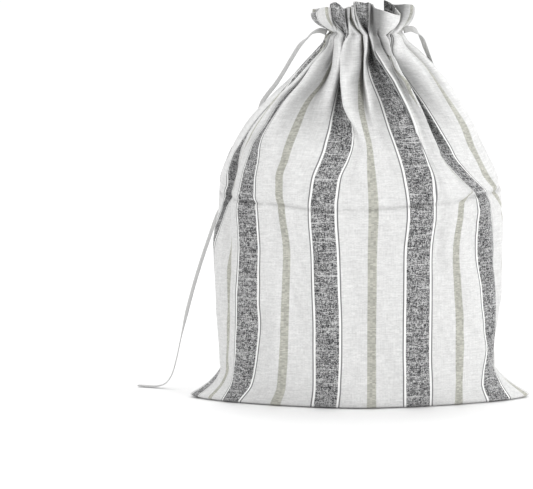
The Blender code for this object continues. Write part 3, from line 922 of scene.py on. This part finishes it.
@dataclass(frozen=True)
class LinenFinish:
    """Off-white plain-woven linen with dark heather stripes, beige stripes and thin lines."""

    name: str = "striped_linen"
    ground: tuple[float, float, float] = (0.75, 0.75, 0.745)
    line_white: tuple[float, float, float] = (0.96, 0.96, 0.95)
    line_grey: tuple[float, float, float] = (0.16, 0.16, 0.165)
    beige: tuple[float, float, float] = (0.50, 0.497, 0.445)
    dark_low: tuple[float, float, float] = (0.022, 0.022, 0.025)
    dark_high: tuple[float, float, float] = (0.62, 0.62, 0.62)
    flecks: tuple[tuple[float, float, float], ...] = ((0.65, 0.6, 0.42), (2.4, 0.5, 0.30), (0.5, 2.6, 0.28))
    fleck_sharp: float = 1.5
    white_wide: float = 1.8  # widths in millimetres
    grey_wide: float = 1.15
    edge_soft: float = 0.25
    rib: float = 1.6  # from one rib of the beige stripes to the next
    painted_shade_weight: float = 0.56  # how much the painted shade darkens the cloth in a pleat, and the painted highlight lightens a ridge
    roughness: float = 0.9
    sheen: float = 0.25
    gloss: float = 0.2

    def band(self, nodes: Nodes, distance: object, reach: float) -> bpy.types.NodeSocket:
        """Return 1 where a distance in metres is under reach millimetres, with a soft edge."""
        low, high = (reach - self.edge_soft) * MM, (reach + self.edge_soft) * MM
        return nodes.ramp(distance, low, high, 1.0, 0.0)

    def shade(self, nodes: Nodes, u: object, v: object, yarn: object) -> bpy.types.NodeSocket:
        """Work out how light each place of the plain cloth is.

        Args:
            nodes: The material's nodes.
            u: The place across the cloth, in metres.
            v: The place up the cloth, in metres.
            yarn: The noise of its yarns.

        Returns:
            A number about 1.
        """
        shade = 1.0
        for value, low, high, darkest, lightest in (
            (yarn, 0.3, 0.7, 0.86, 1.08),
            (nodes.noise(u, v, 130, 240, detail=3), 0.3, 0.7, 0.95, 1.03),
            (nodes.noise(u, v, 75, 640), 0.34, 0.66, 0.95, 1.035),
            (nodes.grain(u, v, 1.7, 0.9), 0.0, 1.0, 0.93, 1.05),
        ):
            shade = nodes.math("MULTIPLY", shade, nodes.ramp(value, low, high, darkest, lightest))
        return shade

    def beige_shade(self, nodes: Nodes, u: object, v: object, shade: object) -> bpy.types.NodeSocket:
        """Add the ribs and dashes of the beige stripes to the cloth's own shade.

        Args:
            nodes: The material's nodes.
            u: The place across the cloth, in metres.
            v: The place up the cloth, in metres.
            shade: How light the plain cloth is.

        Returns:
            How light the beige stripes are.
        """
        wave = nodes.math("SINE", nodes.math("MULTIPLY", v, 2 * math.pi / (self.rib * MM)))
        dash = nodes.grain(u, v, 2.4, 1.0)
        shade = nodes.math("MULTIPLY", shade, nodes.ramp(wave, -1, 1, 0.96, 1.03))
        return nodes.math("MULTIPLY", shade, nodes.ramp(dash, 0, 1, 0.76, 1.16))

    def heather(self, nodes: Nodes, u: object, v: object) -> bpy.types.NodeSocket:
        """Mix light and dark yarn for the dark stripes.

        Args:
            nodes: The material's nodes.
            u: The place across the cloth, in metres.
            v: The place up the cloth, in metres.

        Returns:
            The dark stripes' colour.
        """
        mottle = 0.0
        for wide, high, share in self.flecks:
            mottle = nodes.math("ADD", nodes.math("MULTIPLY", nodes.grain(u, v, wide, high), share), mottle)
        slub = nodes.ramp(nodes.noise(u, v, 35, 420), 0.56, 0.72, 0.0, 0.5)
        light = nodes.math("POWER", nodes.ramp(mottle, 0.24, 0.80), self.fleck_sharp)
        light = nodes.math("ADD", light, slub, clamp=True)
        return nodes.mix(light, (*self.dark_low, 1), (*self.dark_high, 1))

    def stripes(
        self, nodes: Nodes, u: object, ground: object, beige: object, dark: object
    ) -> bpy.types.NodeSocket:
        """Lay the stripes and their thin lines over the ground.

        Args:
            nodes: The material's nodes.
            u: The place across the cloth, in metres.
            ground: The ground's colour.
            beige: The beige stripes' colour.
            dark: The dark stripes' colour.

        Returns:
            The colour of each place.
        """
        across = nodes.math("ADD", u, (FLAT_LEFT + 4 * REPEAT) * MM)
        from_beige = nodes.math("PINGPONG", across, REPEAT / 2 * MM)
        from_dark = nodes.math("SUBTRACT", REPEAT / 2 * MM, from_beige)
        white_reach = DARK_HALF + self.white_wide
        colour = nodes.mix(self.band(nodes, from_beige, BEIGE_HALF), ground, beige)
        for reach, over in (
            (white_reach + self.grey_wide, (*self.line_grey, 1)),
            (white_reach, (*self.line_white, 1)),
            (DARK_HALF, dark),
        ):
            colour = nodes.mix(self.band(nodes, from_dark, reach), colour, over)
        return colour

    def make(self) -> bpy.types.Material:
        """Build the material.

        Returns:
            The material. It reads a piece's UV map and its attribute of painted shade and highlight.
        """
        material = bpy.data.materials.new(self.name)
        nodes = Nodes(material)
        u, v = nodes.cloth_place()
        warp, weft = nodes.noise(u, v, 1500, 70), nodes.noise(u, v, 90, 1500)
        yarn = nodes.math("ADD", nodes.math("MULTIPLY", warp, 0.5), nodes.math("MULTIPLY", weft, 0.5))
        shade = self.shade(nodes, u, v, yarn)
        ground = nodes.scaled(self.ground, shade)
        beige = nodes.scaled(self.beige, self.beige_shade(nodes, u, v, shade))
        colour = self.stripes(nodes, u, ground, beige, self.heather(nodes, u, v))
        # painted shade in the pleats and along the belly crease, and painted highlight on the ridges, scale
        # the colour
        depth = nodes.tree.nodes.new("ShaderNodeAttribute")
        depth.attribute_name = "painted_shade_and_highlight"
        darker = nodes.math("MULTIPLY", depth.outputs["Fac"], self.painted_shade_weight)
        colour = nodes.scaled(colour, nodes.math("SUBTRACT", 1.0, darker))
        normal = nodes.bump(nodes.noise(u, v, 60, 60, detail=4), 0.6, 0.0024)
        normal = nodes.bump(nodes.noise(u, v, 150, 230, detail=3), 0.35, 0.0007, normal)
        normal = nodes.bump(yarn, 0.30, 0.0003, normal)
        nodes.dress(colour, normal, self.roughness, self.sheen)
        nodes.shader.inputs["Specular IOR Level"].default_value = self.gloss
        return material


@dataclass(frozen=True)
class TapeFinish:
    """White cotton tape in a fine twill."""

    name: str = "cotton_tape"
    # the tape's own white, made greyer by painted shade mixed into it
    colour: tuple[float, float, float] = (0.62, 0.62, 0.615)
    rib: float = 1.1  # sizes in millimetres
    half_wide: float = 1.25
    roughness: float = 0.85
    sheen: float = 0.2

    def make(self) -> bpy.types.Material:
        """Build the material.

        Returns:
            The material. It reads a piece's UV map.
        """
        material = bpy.data.materials.new(self.name)
        nodes = Nodes(material)
        u, v = nodes.cloth_place()
        slant = nodes.math("ADD", nodes.math("PINGPONG", u, self.half_wide * MM), v)
        twill = nodes.math("SINE", nodes.math("MULTIPLY", slant, 2 * math.pi / (self.rib * MM)))
        fuzz = nodes.ramp(nodes.noise(u, v, 900, 300), 0.3, 0.7, 0.93, 1.03)
        shade = nodes.math("MULTIPLY", nodes.ramp(twill, -1, 1, 0.86, 1.0), fuzz)
        normal = nodes.bump(twill, 0.4, 0.00025)
        nodes.dress(nodes.scaled(self.colour, shade), normal, self.roughness, self.sheen)
        return material


def mesh_piece(
    name: str,
    points: np.ndarray,
    faces: list[tuple[int, ...]],
    uv: np.ndarray,
    material: bpy.types.Material,
    painted_shade_and_highlight: np.ndarray | None = None,
) -> bpy.types.Object:
    """Make a smooth-shaded piece from points in millimetres.

    Args:
        name: The piece's name.
        points: One row of X, Y and Z for each point.
        faces: The points of each face, in order.
        uv: One row for each point, in metres on the flat cloth.
        material: The finish.
        painted_shade_and_highlight: The painted shade at each point, from 0 to 1, and a little below 0 for a
            painted highlight.

    Returns:
        The new object, at the origin.
    """
    mesh = bpy.data.meshes.new(name)
    mesh.from_pydata((points * MM).tolist(), [], faces)
    layer = mesh.uv_layers.new(name="cloth")
    loops = np.empty(len(mesh.loops), dtype=np.int32)
    mesh.loops.foreach_get("vertex_index", loops)
    layer.data.foreach_set("uv", uv[loops].astype(np.float32).ravel())
    # the painted shade and highlight go with the mesh as a point attribute
    if painted_shade_and_highlight is not None:
        mesh.attributes.new("painted_shade_and_highlight", "FLOAT", "POINT").data.foreach_set("value", painted_shade_and_highlight.astype(np.float32))
    mesh.shade_smooth()
    mesh.materials.append(material)
    mesh.validate()
    piece = bpy.data.objects.new(name, mesh)
    bpy.context.collection.objects.link(piece)
    return piece


@dataclass
class ClothPanel:
    """One of the bag's two cloths, from the base seam over the base, body and neck to the ruffle."""

    side: Side
    form: BagForm
    columns: int = 288
    ruffle_rows: int = 24
    base_rows: int = 12
    thick: float = 0.75
    hem_thick: float = 1.15
    hem_deep: float = 9.0
    set_in: float = 0.1  # the outer face lies this far inside the model's
    swell: Wave = Wave(64, 0.8)
    ripple: Wave = Wave(26, 0.3)
    pucker: Wave = Wave(15, 0.9)  # near the neck
    rumple: Wave = Wave(20, 0.35)  # at the crease across the belly
    tape_swell: float = 1.4  # how far the tape inside swells the channel
    tape_draw: float = 2.6  # how far it draws the neck in above that
    crease_valley: Wave = Wave(1.5, -1.9)  # the crease across the belly, with its half widths
    crease_ridge: Wave = Wave(3.4, 1.0)
    crease_apart: float = 4.5  # the ridge is this far above the valley
    neck_x: float = 4.5  # the middle of the neck
    ridge_reach: int = 12  # how many columns away a pleat's ridges are looked for
    lit: float = 0.15  # how much the painted highlight lightens the top of a ridge

    @property
    def name(self) -> str:
        """Return the piece's name."""
        return f"linen_{self.side.name.lower()}"

    def heights(self) -> np.ndarray:
        """List the heights of the rows from the base's edge to the neck, closer where the cloth bends more.

        Returns:
            The heights, rising.
        """
        low = np.array([0, 0.5, 1.1, 2, 3.2, 4.8, 7, 9.5, 12.5, 16, 20])
        body = np.concatenate([np.arange(24, 162, 3.6), np.arange(162, 188, 1.4), np.arange(188, 204, 3.0)])
        shoulder = np.arange(204, 296, 2.0)
        neck = np.arange(296, NECK_HEIGHT + 0.5, 1.5)
        return np.concatenate([low, body, shoulder, neck])

    def unevenness(self, across: np.ndarray, height: float) -> np.ndarray:
        """Add up the small swells and wrinkles at a level.

        Args:
            across: Places on the flat cloth.
            height: The level's height.

        Returns:
            How far each place stands out.
        """
        seed = 11 if self.side is Side.FRONT else 23
        up = np.full_like(across, height)
        swell = wander(across, up * 0.7, seed, self.swell.long) * self.swell.high
        ripple = wander(across * 1.3, up, seed + 1, self.ripple.long) * self.ripple.high
        near_neck = soft_step(height, 225, 300)
        pucker = wander(across, up * 0.2, seed + 2, self.pucker.long) * self.pucker.high * near_neck
        calm = soft_step(height, 3, 20)
        crossing = between(height, (120, 168), (176, 200))
        rumple = wander(across * 0.5, up * 1.6, seed + 3, self.rumple.long) * self.rumple.high * crossing
        channel = self.tape_swell * math.exp(-(((height - 309) / 4.5) ** 2))
        channel -= self.tape_draw * soft_step(height, 310.5, NECK_HEIGHT)
        return (swell + ripple + rumple) * calm * (1 - 0.5 * near_neck) + pucker + channel

    def crease_line(self, across: np.ndarray) -> np.ndarray:
        """Return the height of the level crease where the flat bag lay folded."""
        if self.side is Side.FRONT:
            return np.interp(across, [-170, -82, -41, 0, 60, 110], [177, 174, 170, 171, 175.5, 180])
        return np.full_like(across, 172.0)

    def crease(self, across: np.ndarray, height: float) -> np.ndarray:
        """Shape the level crease as a sharp valley below a soft ridge.

        Args:
            across: Places on the flat cloth.
            height: The level's height.

        Returns:
            How far each place stands out.
        """
        off = height - self.crease_line(across)
        valley = self.crease_valley.high * np.exp(-((off / self.crease_valley.long) ** 2))
        ridge = self.crease_ridge.high * np.exp(-(((off - self.crease_apart) / self.crease_ridge.long) ** 2))
        return (valley + ridge) * (0.7 + 0.3 * np.sin(across / 21))

    def grid(self) -> np.ndarray:
        """Place the outer face.

        Returns:
            Rows of points, from the base seam to the ruffle's edge.
        """
        across = np.linspace(FLAT_LEFT, FLAT_RIGHT, self.columns + 1)
        rows = []
        for height in self.heights():
            more = self.unevenness(across, height) + self.crease(across, height) - self.set_in
            rows.append(self.form.level(across, float(height), self.side, more))
        neck = rows[-1]
        for share in np.linspace(0, 1, self.ruffle_rows + 1)[1:]:
            rows.append(self.form.ruffle(across, self.side, neck, float(share)))
        edge = rows[0]
        seam_y = self.side.value * self.form.seam_gap / 2
        base = []
        for share in np.linspace(0, 0.96, self.base_rows):
            row = edge.copy()
            row[:, 1] = seam_y + (edge[:, 1] - seam_y) * share
            base.append(row)
        return np.array(base + rows)

    def build(self, material: bpy.types.Material) -> tuple[bpy.types.Object, float]:
        """Build the panel.

        Args:
            material: The linen.

        Returns:
            The piece, and the length of the flat cloth in millimetres.
        """
        grid = self.grid()
        row_count, column_count = grid.shape[:2]
        steps = np.linalg.norm(np.diff(grid, axis=0), axis=2)
        up = np.concatenate([[0], np.cumsum(np.median(steps, axis=1))])
        across = np.linspace(0, FLAT_WIDE, column_count)
        uv = np.stack(np.meshgrid(across, up), axis=2).reshape(-1, 2) * MM
        normal = self.normals(grid)
        from_top = up[-1] - up
        thick = np.where(from_top < self.hem_deep, self.hem_thick, self.thick)[:, None, None]
        inner = grid + normal * thick
        inner[..., 1] = self.side.value * np.maximum(self.side.value * inner[..., 1], self.form.seam_gap / 2)
        index = np.arange(row_count * column_count).reshape(row_count, column_count)
        faces = self.quads(index, False) + self.quads(index + index.size, True) + self.rim(index)
        points = np.concatenate([grid.reshape(-1, 3), inner.reshape(-1, 3)])
        # painted shade and highlight, the same on both faces
        painted_shade_and_highlight = np.tile(self.painted_shade_and_highlight(grid).ravel(), 2)
        piece = mesh_piece(self.name, points, faces, np.concatenate([uv, uv]), material, painted_shade_and_highlight)
        return piece, float(up[-1])

    def painted_shade_and_highlight(self, grid: np.ndarray) -> np.ndarray:
        """Work out the painted shade of each point: from how far it lies below the ridges beside it, on the
        front's listed patches and along the belly crease, with a painted highlight on the ridges.

        Args:
            grid: The outer face's rows of points.

        Returns:
            From 1 at the bottom of a pleat to 0, and a little less than 0 for the painted highlight on a
            ridge.
        """
        up = grid[..., 2]
        reach = np.hypot(grid[..., 0] - self.neck_x, grid[..., 1])
        ridge = reach.copy()
        for step in range(1, self.ridge_reach + 1):
            ridge[:, step:] = np.maximum(ridge[:, step:], reach[:, :-step])
            ridge[:, :-step] = np.maximum(ridge[:, :-step], reach[:, step:])
        high = soft_step(up, 215, 285)
        across = np.linspace(FLAT_LEFT, FLAT_RIGHT, self.columns + 1)
        # painted shade in the pleats of the upper cloth, by how far each point lies below its neighbours
        painted_shade = np.clip((ridge - reach - 1.5) / 7.0, 0, 1) * high
        # on the front, painted shade is taken off the light band and added on the listed patches
        if self.side is Side.FRONT:
            painted_shade *= 1 - LIGHT_BAND.strength(across, up)
            painted_shade += sum(patch.strength(across, up) for patch in FRONT_SHADES)
        # painted shade along the crease across the belly, stronger on the dark stripes
        from_dark = np.abs((across / REPEAT) % 1 - 0.5) * REPEAT
        crease = (1.2 - 0.8 * soft_step(from_dark, 9, 12)) * (0.7 + 0.3 * np.sin(across / 13))
        painted_shade += crease * np.exp(-(((up - self.crease_line(across)) / 1.4) ** 2))
        # painted highlight on the ridge tops of the upper cloth
        ridge_light = self.lit * (1 - np.clip((ridge - reach) / 2.5, 0, 1)) * high
        return np.clip(painted_shade, 0, 1) - ridge_light

    def normals(self, grid: np.ndarray) -> np.ndarray:
        """Find the way inwards at each point. It stays in the seam's plane along the seams.

        Args:
            grid: The outer face's rows of points.

        Returns:
            Rows of unit vectors.
        """
        down, right = np.gradient(grid, axis=0), np.gradient(grid, axis=1)
        normal = np.cross(down, right) * -self.side.value
        normal /= np.maximum(np.linalg.norm(normal, axis=2, keepdims=True), 1e-9)
        for edge in (normal[0], normal[:, 0], normal[:, -1]):
            edge[:, 1] = 0
            edge /= np.maximum(np.sum(edge * edge, axis=1, keepdims=True) ** 0.5, 0.5) ** 2
        return normal

    def quads(self, index: np.ndarray, turned: bool) -> list[tuple[int, ...]]:
        """Join one grid of points into faces.

        Args:
            index: The points' numbers, in rows.
            turned: Whether the faces look into the bag.

        Returns:
            The faces.
        """
        corners = np.stack([index[:-1, :-1], index[:-1, 1:], index[1:, 1:], index[1:, :-1]], axis=2)
        if turned != (self.side is Side.BACK):
            corners = corners[..., ::-1]
        return [tuple(face) for face in corners.reshape(-1, 4).tolist()]

    def rim(self, index: np.ndarray) -> list[tuple[int, ...]]:
        """Join the outer and the inner grid along their edge.

        Args:
            index: The outer points' numbers, in rows.

        Returns:
            The faces.
        """
        edge = np.concatenate([index[0, :-1], index[:-1, -1], index[-1, :0:-1], index[:0:-1, 0]])
        after = np.roll(edge, -1)
        corners = np.stack([after, edge, edge + index.size, after + index.size], axis=1)
        if self.side is Side.BACK:
            corners = corners[:, ::-1]
        return [tuple(face) for face in corners.tolist()]


@dataclass
class TapeStrand:
    """A strand of the flat tape that draws the neck together."""

    name: str
    node: str
    stops: tuple[Stop, ...]
    wide: float = 5.0
    thick: float = 0.95
    step: float = 1.6
    round_points: int = 12
    flat: float = 0.45  # less makes the tape's faces flatter
    edge_round: float = 0.8  # less makes its edges squarer

    def line(self) -> tuple[np.ndarray, np.ndarray]:
        """Lay a smooth line through the stops.

        Returns:
            The tape's middle line at even steps, and the way its width lies at each.
        """
        table = np.array(self.stops)
        run = np.concatenate([[0], np.cumsum(np.linalg.norm(np.diff(table[:, :3], axis=0), axis=1))])
        steps = np.linspace(0, run[-1], int(run[-1] / self.step) + 1)
        line = np.stack([smooth_line(steps, run, table[:, k]) for k in range(3)], axis=1)
        width = np.stack([np.interp(steps, run, table[:, k]) for k in range(3, 6)], axis=1)
        along = np.gradient(line, axis=0)
        along /= np.linalg.norm(along, axis=1, keepdims=True)
        width -= along * np.sum(along * width, axis=1, keepdims=True)
        width /= np.linalg.norm(width, axis=1, keepdims=True)
        return line, width

    def build(self, material: bpy.types.Material) -> bpy.types.Object:
        """Args:
            material: The tape's finish.

        Returns:
            The piece.
        """
        line, width = self.line()
        along = np.gradient(line, axis=0)
        along /= np.linalg.norm(along, axis=1, keepdims=True)
        face = np.cross(along, width)
        turn = np.linspace(0, 2 * math.pi, self.round_points, endpoint=False)
        out = np.sign(np.cos(turn)) * np.abs(np.cos(turn)) ** self.flat * self.wide / 2
        rise = np.sign(np.sin(turn)) * np.abs(np.sin(turn)) ** self.edge_round * self.thick / 2
        rings = line[:, None] + width[:, None] * out[None, :, None] + face[:, None] * rise[None, :, None]
        count = self.round_points
        index = np.arange(len(line) * count).reshape(len(line), count)
        turned = np.roll(index, -1, axis=1)
        corners = np.stack([index[:-1], turned[:-1], turned[1:], index[1:]], axis=2)
        faces = [tuple(quad) for quad in corners.reshape(-1, 4).tolist()]
        faces += [tuple(index[0, ::-1].tolist()), tuple(index[-1].tolist())]
        run = np.concatenate([[0], np.cumsum(np.linalg.norm(np.diff(line, axis=0), axis=1))])
        uv = np.stack(np.broadcast_arrays(out[None, :] + self.wide, run[:, None]), axis=2).reshape(-1, 2) * MM
        piece = mesh_piece(self.name, rings.reshape(-1, 3), faces, uv, material)
        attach(piece, "root")
        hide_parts(self.node)
        return piece


@dataclass
class Studio:
    """The camera at the photo's angle, a pale floor and soft lights."""

    distance: float = 12.0
    tilt_deg: float = 9.0
    mm_a_pixel: float = 0.85
    image_wide: int = 533
    image_high: int = 489
    bag_column: float = 360.0  # the image column of the bag's middle
    floor_row: float = 396.5  # the image row of a floor point below the bag's middle
    sensor_mm: float = 36.0
    floor_wide: float = 40.0
    floor_below: float = 0.4
    look_at: tuple[float, float, float] = (0.0, 0.0, 0.17)  # where the lamps point
    low_air: float = 0.34  # how bright the air is at the horizon
    high_air: float = 1.05  # and overhead

    def camera(self) -> bpy.types.Object:
        """Add the camera so that the bag sits in the image as it does in the photo.

        Returns:
            The camera.
        """
        tilt = math.radians(self.tilt_deg)
        aim_x = (self.image_wide / 2 - self.bag_column) * self.mm_a_pixel * MM
        aim_z = (self.floor_row - self.image_high / 2) * self.mm_a_pixel * MM / math.cos(tilt)
        place = (aim_x, -self.distance * math.cos(tilt), aim_z + self.distance * math.sin(tilt))
        bpy.ops.object.camera_add(location=place, rotation=(math.pi / 2 - tilt, 0, 0))
        camera = bpy.context.object
        camera.name = "photo_camera"
        camera.data.sensor_width = self.sensor_mm
        camera.data.sensor_fit = "HORIZONTAL"
        view_wide = self.image_wide * self.mm_a_pixel * MM
        camera.data.lens = self.sensor_mm * self.distance / view_wide
        camera.data.clip_end = 50
        bpy.context.scene.camera = camera
        return camera

    def floor(self) -> bpy.types.Object:
        """Add a wide pale floor just under the bag.

        Returns:
            The floor.
        """
        bpy.ops.mesh.primitive_plane_add(size=self.floor_wide, location=(0, 0, 0))
        floor = bpy.context.object
        floor.name = "studio_floor"
        mesh = floor.data
        for point in mesh.vertices:
            point.co.z = -self.floor_below * MM
        material = bpy.data.materials.new("studio_paper")
        nodes = Nodes(material)
        nodes.shader.inputs["Base Color"].default_value = (0.92, 0.92, 0.92, 1)
        nodes.shader.inputs["Roughness"].default_value = 0.95
        mesh.materials.append(material)
        return floor

    def lamp(self, name: str, place: tuple[float, float, float], size: float, power: float) -> None:
        """Add a soft square light that faces the bag.

        Args:
            name: Its name.
            place: Where it hangs.
            size: How wide it is.
            power: Its power, in watts.
        """
        bpy.ops.object.light_add(type="AREA", location=place)
        lamp = bpy.context.object
        lamp.name = name
        lamp.data.size = size
        lamp.data.energy = power
        x, y, z = np.array(self.look_at) - np.array(place)
        lamp.rotation_euler = (math.atan2(math.hypot(x, y), -z), 0, math.atan2(y, x) - math.pi / 2)

    def lights(self) -> None:
        """Light the bag softly from all round, most from above, and a little more from the right."""
        world = bpy.data.worlds.new("studio_air")
        bpy.context.scene.world = world
        world.use_nodes = True
        tree = world.node_tree
        background = tree.nodes["Background"]
        background.inputs["Color"].default_value = (1, 1, 1, 1)
        way = tree.nodes.new("ShaderNodeTexCoord")
        split = tree.nodes.new("ShaderNodeSeparateXYZ")
        rise = tree.nodes.new("ShaderNodeMapRange")
        limits = {"From Min": -0.1, "From Max": 0.9, "To Min": self.low_air, "To Max": self.high_air}
        for name, number in limits.items():
            rise.inputs[name].default_value = number
        tree.links.new(way.outputs["Generated"], split.inputs[0])
        tree.links.new(split.outputs[2], rise.inputs["Value"])
        tree.links.new(rise.outputs[0], background.inputs["Strength"])
        self.lamp("key_light", (1.6, -1.3, 1.1), 0.8, 17)
        self.lamp("fill_light", (-1.8, -0.9, 1.2), 1.0, 5)
        self.lamp("top_light", (0.0, 1.4, 2.6), 2.2, 30)
        bpy.context.scene.view_settings.view_transform = "Standard"


def main() -> None:
    """Load the model, dress it piece by piece, and set the studio round it."""
    logging.basicConfig(level=logging.INFO, format="%(name)s: %(message)s")
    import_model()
    bpy.ops.object.select_all(action="DESELECT")
    studio = Studio()
    studio.camera()
    tape = TapeFinish().make()
    strands = (
        TapeStrand("tape_left", "drawstring_left", LEFT_STRAND),
        TapeStrand("tape_right", "drawstring_right", RIGHT_STRAND),
    )
    for strand in strands:
        piece = strand.build(tape)
        LOG.info("%s: %d faces", piece.name, len(piece.data.polygons))
    linen = LinenFinish().make()
    form = BagForm()
    for side in Side:
        panel = ClothPanel(side, form)
        piece, flat_long = panel.build(linen)
        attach(piece, "root")
        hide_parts(f"{side.name.lower()}_panel")
        LOG.info("%s: %d faces, flat length %.0f mm", piece.name, len(piece.data.polygons), flat_long)
    studio.floor()
    studio.lights()


if __name__ == "__main__":
    main()
